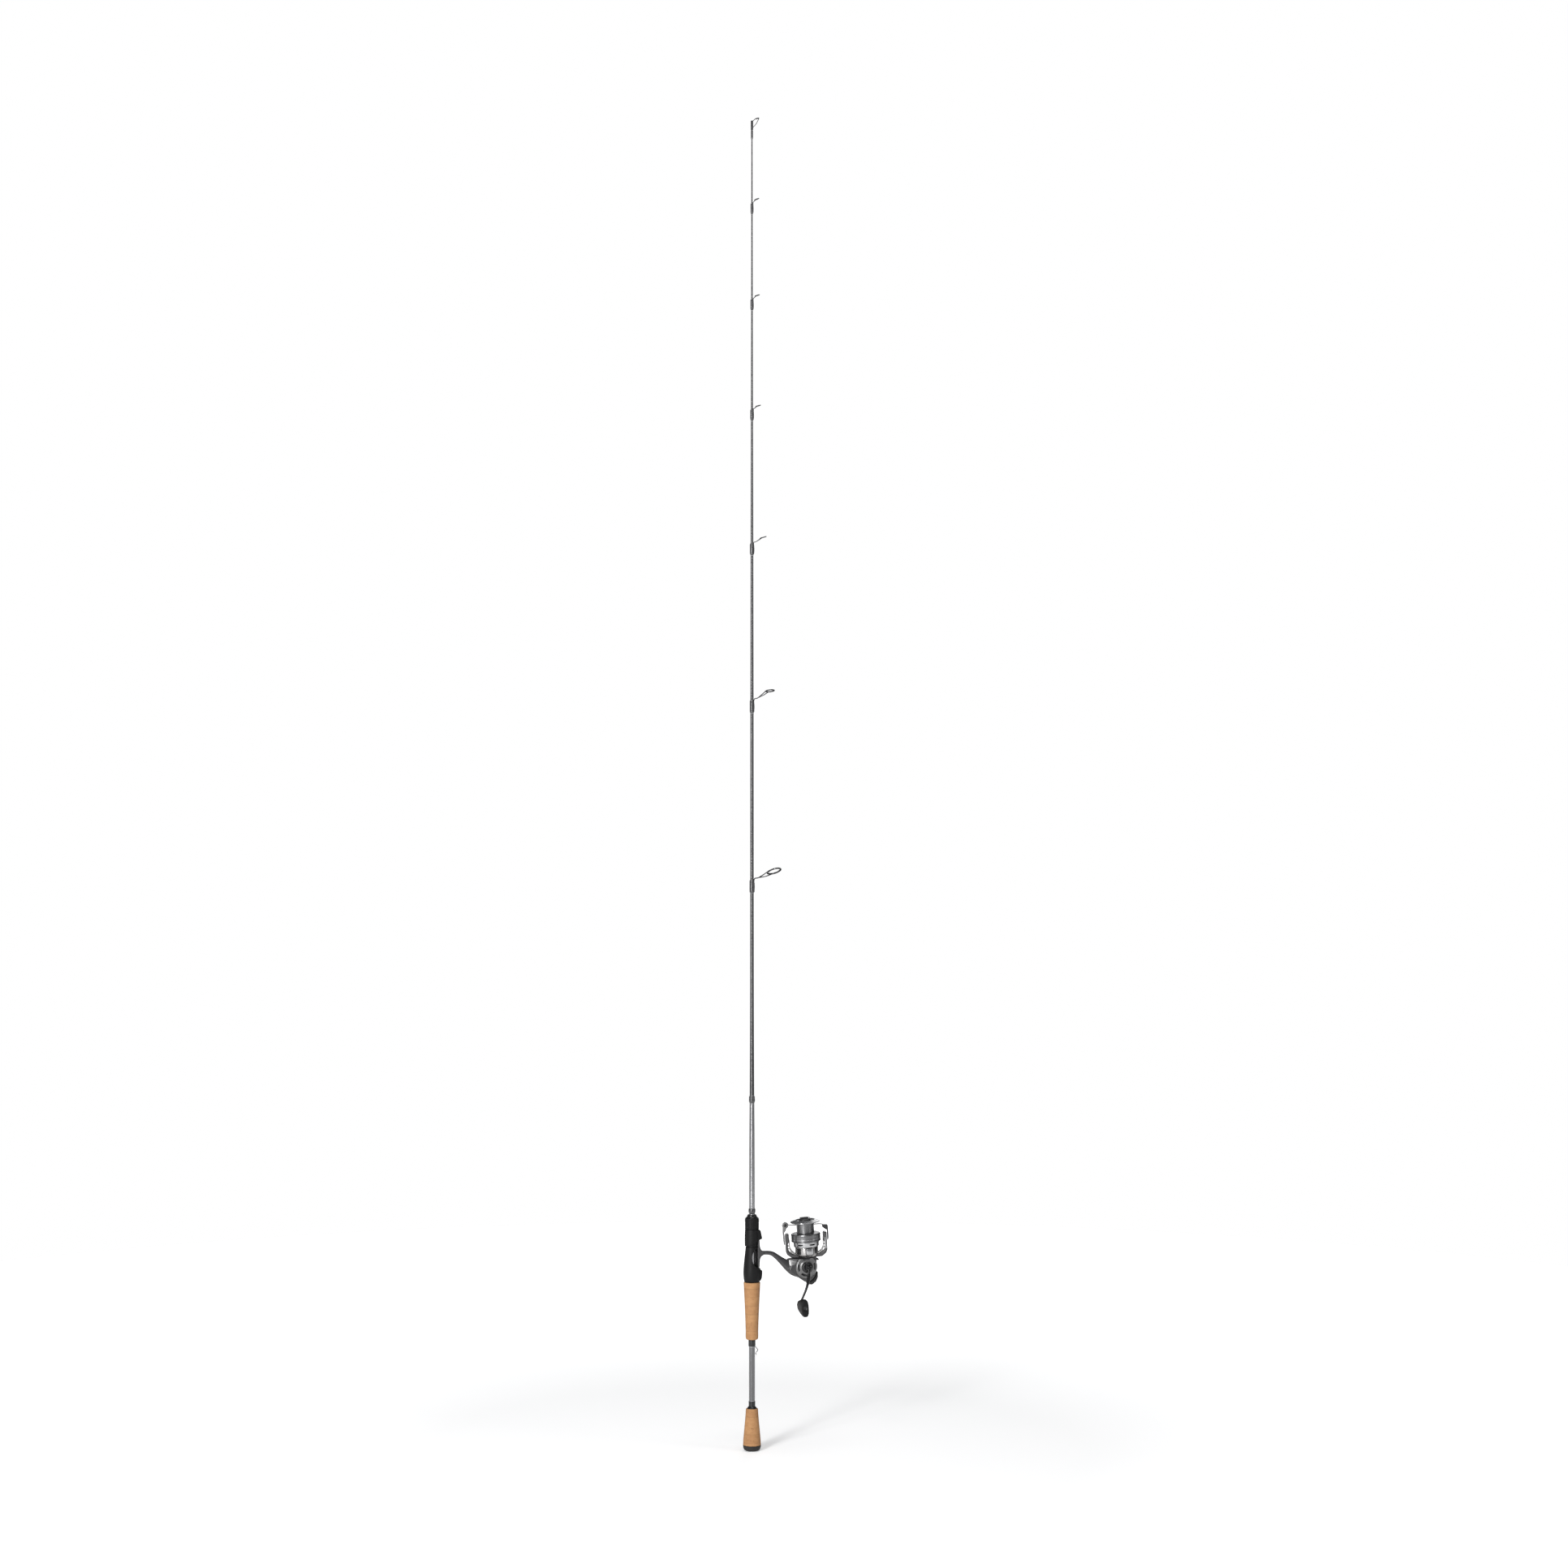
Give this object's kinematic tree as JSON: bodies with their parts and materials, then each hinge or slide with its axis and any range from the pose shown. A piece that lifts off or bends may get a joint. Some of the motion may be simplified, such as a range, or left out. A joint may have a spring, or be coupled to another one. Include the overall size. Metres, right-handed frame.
{
  "type": "spinning rod and reel",
  "caption": "One-piece spinning rod with split cork grip and single-foot guides, carrying a front-drag spinning reel with bail and crank.",
  "frame": {"origin": "middle of the flat butt end, on the rod's axis", "axes": "+Z along the rod to its tip, +X from the rod towards the reel, -Y towards the crank"},
  "size_m": [0.1297, 0.1134, 1.9801],
  "materials": {
    "blank": "gloss black above, gloss silver-grey below",
    "cork": "sanded natural cork",
    "soft_touch": "soft-touch matt",
    "rubber": "matt",
    "black_trim": "satin black",
    "black_metal": "black plated",
    "thread_wrap": "epoxy over thread",
    "ring_insert": "polished dark ceramic look",
    "body_gunmetal": "metallic paint, dark gunmetal",
    "rotor_gunmetal": "metallic paint, light gunmetal",
    "cover_silver": "satin silver paint",
    "spool_alloy": "anodised grey",
    "drag_plastic": "satin",
    "bright_steel": "polished",
    "gear_brass": "machined",
    "zinc": "cast",
    "felt": "felt"
  },
  "bodies": {
    "rod": {"rod_blank": "blank", "butt_cap": "rubber", "butt_grip": "cork", "butt_collar": "black_trim", "rear_collar": "black_trim", "rear_grip": "cork", "hook_keeper": "bright_steel", "reel_seat": "soft_touch", "front_wrap": "thread_wrap", "colour_wrap": "thread_wrap", "guide_1_frame": "black_metal", "guide_1_ring": "ring_insert", "guide_1_wrap": "thread_wrap", "guide_2_frame": "black_metal", "guide_2_ring": "ring_insert", "guide_2_wrap": "thread_wrap", "guide_3_frame": "black_metal", "guide_3_ring": "ring_insert", "guide_3_wrap": "thread_wrap", "guide_4_frame": "black_metal", "guide_4_ring": "ring_insert", "guide_5_frame": "black_metal", "guide_5_ring": "ring_insert", "guide_6_frame": "black_metal", "guide_6_ring": "ring_insert", "tip_frame": "black_metal", "tip_ring": "ring_insert", "reel_body": "body_gunmetal", "side_cover": "cover_silver", "rear_cap": "black_trim", "far_side_cap": "black_trim", "front_bearing": "bright_steel", "one_way_clutch": "bright_steel", "drive_bearing": "bright_steel"},
    "hood": {"seat_hood": "soft_touch"},
    "nut": {"seat_nut": "soft_touch", "nut_cone": "black_trim"},
    "crank": {"handle_shaft": "bright_steel", "drive_gear": "gear_brass", "handle_hub": "black_trim", "fold_pin": "bright_steel"},
    "arm": {"handle_arm": "black_metal"},
    "knob": {"handle_knob": "soft_touch", "knob_cap": "black_trim"},
    "oscillator": {"oscillation_gear": "gear_brass"},
    "rotor_body": {"rotor": "rotor_gunmetal", "rotor_nut": "bright_steel", "pinion_gear": "gear_brass", "bail_spring": "bright_steel"},
    "bail": {"bail_arm": "rotor_gunmetal", "bail_lever": "black_trim", "bail_wire": "bright_steel", "roller_screw": "bright_steel"},
    "roller": {"line_roller": "bright_steel"},
    "shaft": {"main_shaft": "bright_steel", "oscillation_slider": "zinc", "drag_washers": "felt"},
    "spool_body": {"spool": "spool_alloy"},
    "drag": {"drag_knob": "drag_plastic"},
    "stop_lever": {"anti_reverse_lever": "black_trim"}
  },
  "joints": [
    {"name": "handle_spin", "type": "hinge", "parent": "rod", "child": "crank", "pos_m": [0.0802, 0, 0.2716], "axis": [0, 1, 0], "continuous": true},
    {"name": "handle_fold", "type": "hinge", "parent": "crank", "child": "arm", "pos_m": [0.0802, -0.0254, 0.2716], "axis": [-0.9978, 0, -0.0663], "range_deg": [0, 80]},
    {"name": "knob_spin", "type": "hinge", "parent": "arm", "child": "knob", "pos_m": [0.06266, -0.042, 0.22032], "axis": [0, 1, 0], "continuous": true},
    {"name": "oscillator_spin", "type": "hinge", "parent": "rod", "child": "oscillator", "pos_m": [0.08288, 0, 0.26145], "axis": [0, 1, 0], "continuous": true},
    {"name": "rotor_spin", "type": "hinge", "parent": "rod", "child": "rotor_body", "pos_m": [0.08539, 0, 0.27194], "axis": [-0.0663, 0, 0.9978], "continuous": true},
    {"name": "bail_flip", "type": "hinge", "parent": "rotor_body", "child": "bail", "pos_m": [0.08255, 0, 0.31465], "axis": [0.9682, -0.2419, 0.0643], "range_deg": [0, 115], "stiffness_Nm_per_rad": 0.03, "springref_deg": -22.92},
    {"name": "line_roller_spin", "type": "hinge", "parent": "bail", "child": "roller", "pos_m": [0.0526, 0.00716, 0.3323], "axis": [0.2414, 0.9703, 0.016], "continuous": true},
    {"name": "spool_stroke", "type": "slide", "parent": "rod", "child": "shaft", "axis": [-0.0663, 0, 0.9978], "range_m": [-0.006, 0.006]},
    {"name": "spool_drag_spin", "type": "hinge", "parent": "shaft", "child": "spool_body", "pos_m": [0.08174, 0, 0.32682], "axis": [-0.0663, 0, 0.9978], "continuous": true},
    {"name": "drag_knob_turn", "type": "hinge", "parent": "shaft", "child": "drag", "pos_m": [0.08174, 0, 0.32682], "axis": [-0.0663, 0, 0.9978], "range_deg": [-540, 540]},
    {"name": "anti_reverse_switch", "type": "hinge", "parent": "rod", "child": "stop_lever", "pos_m": [0.0952, 0, 0.28121], "axis": [0, -1, 0], "range_deg": [0, 20]},
    {"name": "hood_slide", "type": "slide", "parent": "rod", "child": "hood", "axis": [0, 0, 1], "range_m": [0, 0.009]},
    {"name": "nut_turn", "type": "hinge", "parent": "hood", "child": "nut", "pos_m": [0, 0, 0.337], "axis": [0, 0, 1], "range_deg": [0, 1620]}
  ],
  "couplings": [
    {"joint": "rotor_spin", "follows": "handle_spin", "ratio": 5.2},
    {"joint": "oscillator_spin", "follows": "handle_spin", "ratio": -0.5},
    {"joint": "hood_slide", "follows": "nut_turn", "m_per_rad": 0.00031831}
  ]
}
